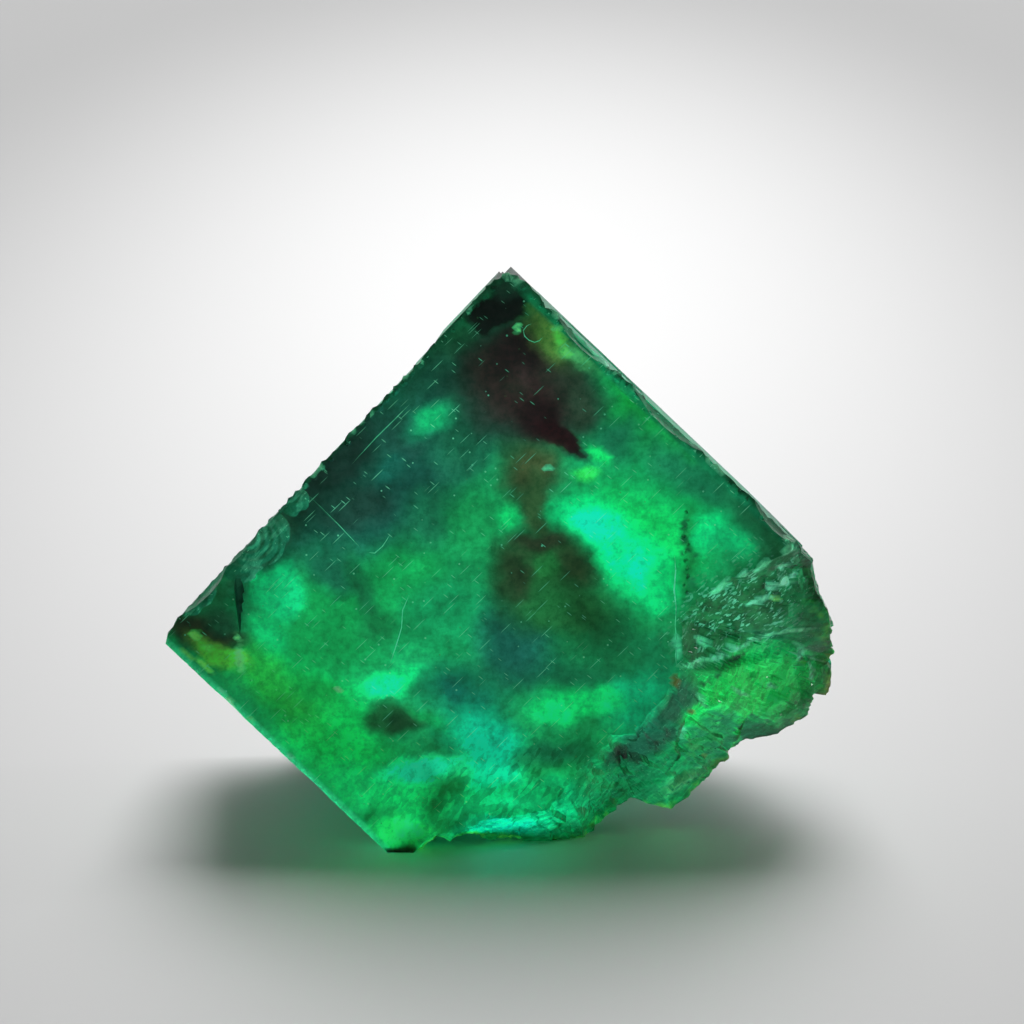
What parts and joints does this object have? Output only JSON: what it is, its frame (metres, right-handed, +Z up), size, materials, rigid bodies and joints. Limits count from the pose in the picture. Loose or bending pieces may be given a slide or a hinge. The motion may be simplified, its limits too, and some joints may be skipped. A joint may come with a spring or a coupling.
{
  "type": "fluorite crystal specimen",
  "caption": "Green fluorite cube, broken off at one side, standing corner up as a display specimen.",
  "frame": {"origin": "centre of the bounding box on the ground plane", "axes": "+Z up, +X to the right along the big flat cube face, +Y to the back; the big cube face looks toward -Y"},
  "size_m": [0.0302, 0.0222, 0.0256],
  "materials": {
    "fluorite": "clear to cloudy green crystal, glossy cube faces, rougher break"
  },
  "bodies": {
    "root": {"fluorite_crystal": "fluorite"}
  },
  "joints": []
}
